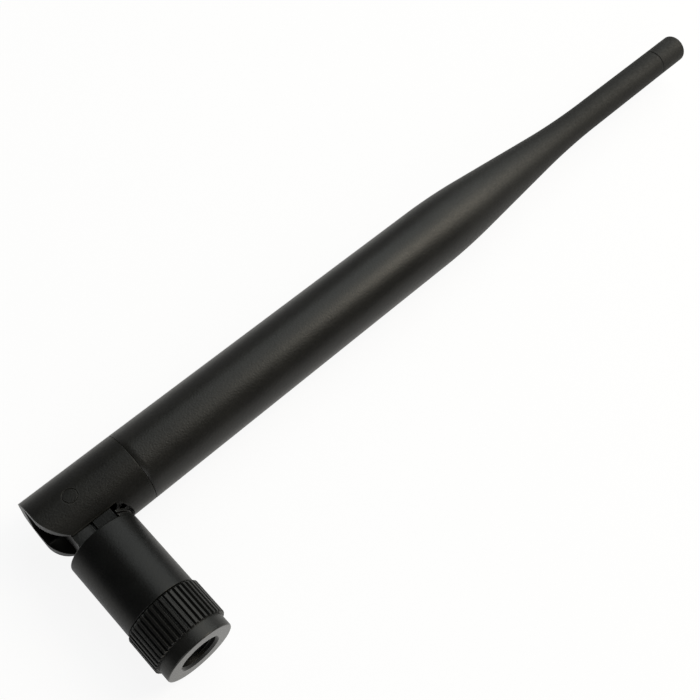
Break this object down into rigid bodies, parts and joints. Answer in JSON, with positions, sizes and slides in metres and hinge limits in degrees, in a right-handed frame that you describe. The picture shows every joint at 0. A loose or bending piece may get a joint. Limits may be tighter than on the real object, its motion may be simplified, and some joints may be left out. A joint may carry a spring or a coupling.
{
  "type": "wifi antenna",
  "caption": "Whip antenna for a wireless router: a slim tapered black tube that tilts in a forked hinge sleeve and swivels on a knurled screw-on coaxial plug.",
  "frame": {"origin": "on the plug's axis in its reference plane, where the outer contact ends and the centre pin stands out", "axes": "-Y out of the plug's mouth, +X along the folded whip, +Z along the hinge pins, up from the table it lies on"},
  "size_m": [0.1659, 0.0379, 0.0136],
  "materials": {
    "black_plastic": "satin black moulding with a very fine grain",
    "black_metal": "matt black plating on turned brass",
    "gold_plate": "bright gold plating",
    "brass": "drawn",
    "copper": "drawn copper wire",
    "spring_steel": "plain",
    "white_insulator": "waxy white",
    "cable_jacket": "smooth brown jacket",
    "shrink_tube": "shrunk black tube",
    "spacer": "plain moulded"
  },
  "bodies": {
    "connector": {"connector_body": "gold_plate", "dielectric": "white_insulator", "centre_pin": "gold_plate", "swivel_snap_ring": "spring_steel", "crimp_ferrule": "brass", "coax_lower": "cable_jacket", "coax_lower_core": "white_insulator"},
    "nut": {"coupling_nut": "black_metal", "nut_snap_ring": "spring_steel"},
    "knuckle_block": {"knuckle": "black_plastic", "swivel_washer": "spring_steel", "coax_bend": "cable_jacket"},
    "whip": {"radome": "black_plastic", "tip_cap": "black_plastic", "hinge_sleeve": "black_plastic", "hinge_pin_upper": "black_plastic", "hinge_pin_lower": "black_plastic", "coax_upper": "cable_jacket", "coax_feed_core": "white_insulator", "ground_sleeve": "brass", "radiator_wire": "copper", "heat_shrink": "shrink_tube", "ground_spacer": "spacer", "wire_spacer": "spacer", "tip_spacer": "spacer"}
  },
  "joints": [
    {"name": "nut_spin", "type": "hinge", "parent": "connector", "child": "nut", "pos_m": [0, 0, 0], "axis": [0, -1, 0], "continuous": true},
    {"name": "swivel", "type": "hinge", "parent": "connector", "child": "knuckle_block", "pos_m": [0, 0, 0], "axis": [0, 1, 0], "range_deg": [-180, 180]},
    {"name": "tilt", "type": "hinge", "parent": "knuckle_block", "child": "whip", "pos_m": [0, 0.0281, 0], "axis": [0, 0, 1], "range_deg": [0, 90], "deforming": ["coax_bend"]}
  ]
}
